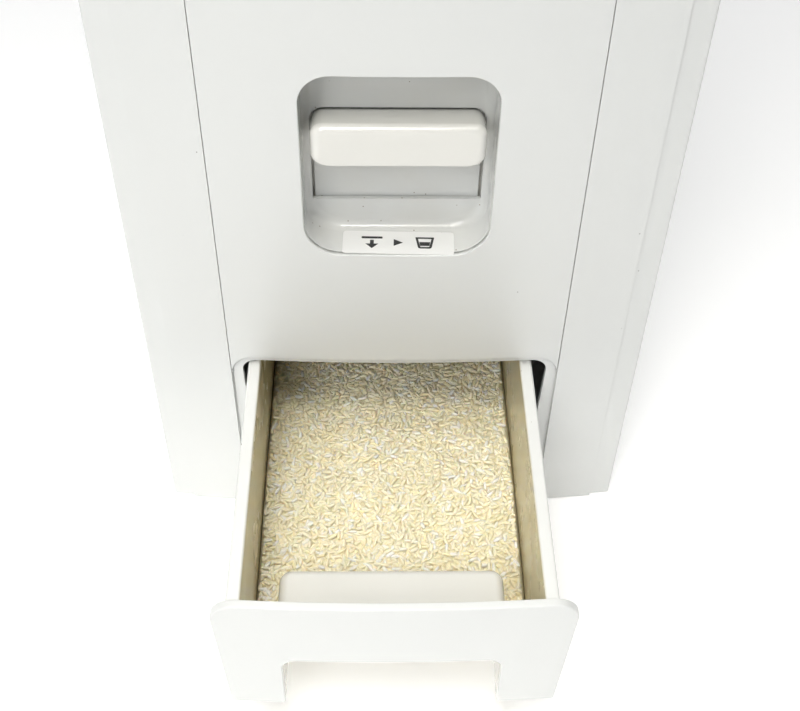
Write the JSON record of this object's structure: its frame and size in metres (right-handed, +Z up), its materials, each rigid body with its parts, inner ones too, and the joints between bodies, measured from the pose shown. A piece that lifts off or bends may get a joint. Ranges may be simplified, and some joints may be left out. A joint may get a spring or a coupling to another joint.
{
  "type": "rice and cereal dispenser",
  "caption": "Tall white countertop grain dispenser with a bowed front, a press-down measuring lever in a rounded recess and a pull-out catch drawer.",
  "frame": {"origin": "centre of the base plate's underside, on the surface the dispenser stands on", "axes": "+Z up; +Y from the bowed front to the back; +X to the right as seen from the front"},
  "size_m": [0.255, 0.4885, 0.6],
  "materials": {
    "casing_white": "semi-gloss moulded ABS, cool white",
    "recess_white": "glossy moulded ABS",
    "lever_gloss": "high-gloss moulded ABS, warm white",
    "drawer_plastic": "glossy moulded ABS, dusty inside",
    "inner_plastic": "matt moulded ABS",
    "hopper_plastic": "smooth food-grade polypropylene",
    "drum_plastic": "smooth food-grade polypropylene",
    "acetal": "moulded acetal",
    "steel": "bright drawn steel",
    "spring_steel": "oiled spring wire",
    "label_vinyl": "satin vinyl sticker",
    "silicone": "soft white silicone",
    "rice": "dry polished white rice"
  },
  "bodies": {
    "case": {"base_plate": "casing_white", "side_panel_left": "casing_white", "side_panel_right": "casing_white", "rear_panel": "casing_white", "rear_screws": "steel", "front_frame": "casing_white", "front_cover": "casing_white", "recess_housing": "recess_white", "press_label": "label_vinyl", "guide_rail_left": "inner_plastic", "guide_rail_right": "inner_plastic", "spring_bracket": "inner_plastic", "spring_posts": "steel", "return_springs": "spring_steel", "drum_housing_front": "inner_plastic", "drum_housing_rear": "inner_plastic", "shaft_bushes": "acetal", "discharge_chute": "inner_plastic", "hopper_bin": "hopper_plastic", "drawer_runner_left": "inner_plastic", "drawer_runner_right": "inner_plastic", "top_frame": "casing_white", "hinge_pins": "steel"},
    "lever": {"press_lever": "lever_gloss", "dust_shield": "recess_white", "lever_slide": "acetal"},
    "drum": {"measuring_drum": "drum_plastic", "drum_shaft": "steel", "drum_pinion": "acetal"},
    "drawer": {"drawer_tray": "drawer_plastic", "drawer_front": "casing_white", "pull_pocket": "lever_gloss", "rice_fill": "rice"},
    "lid": {"lid": "casing_white", "lid_gasket": "silicone"}
  },
  "joints": [
    {"name": "drawer_slide", "type": "slide", "parent": "case", "child": "drawer", "axis": [0, -1, 0], "range_m": [-0.1407, 0.04]},
    {"name": "drum_turn", "type": "hinge", "parent": "case", "child": "drum", "pos_m": [0, -0.0925, 0.24], "axis": [1, 0, 0], "range_deg": [0, 179]},
    {"name": "lever_press", "type": "slide", "parent": "case", "child": "lever", "axis": [0, 0, -1], "range_m": [0, 0.025], "stiffness_N_per_m": 400, "springref_m": -0.012, "deforming": ["return_springs"]},
    {"name": "lid_hinge", "type": "hinge", "parent": "case", "child": "lid", "pos_m": [0, 0.1677, 0.5938], "axis": [-1, 0, 0], "range_deg": [0, 100]}
  ],
  "couplings": [
    {"joint": "lever_press", "follows": "drum_turn", "m_per_rad": 0.008}
  ]
}
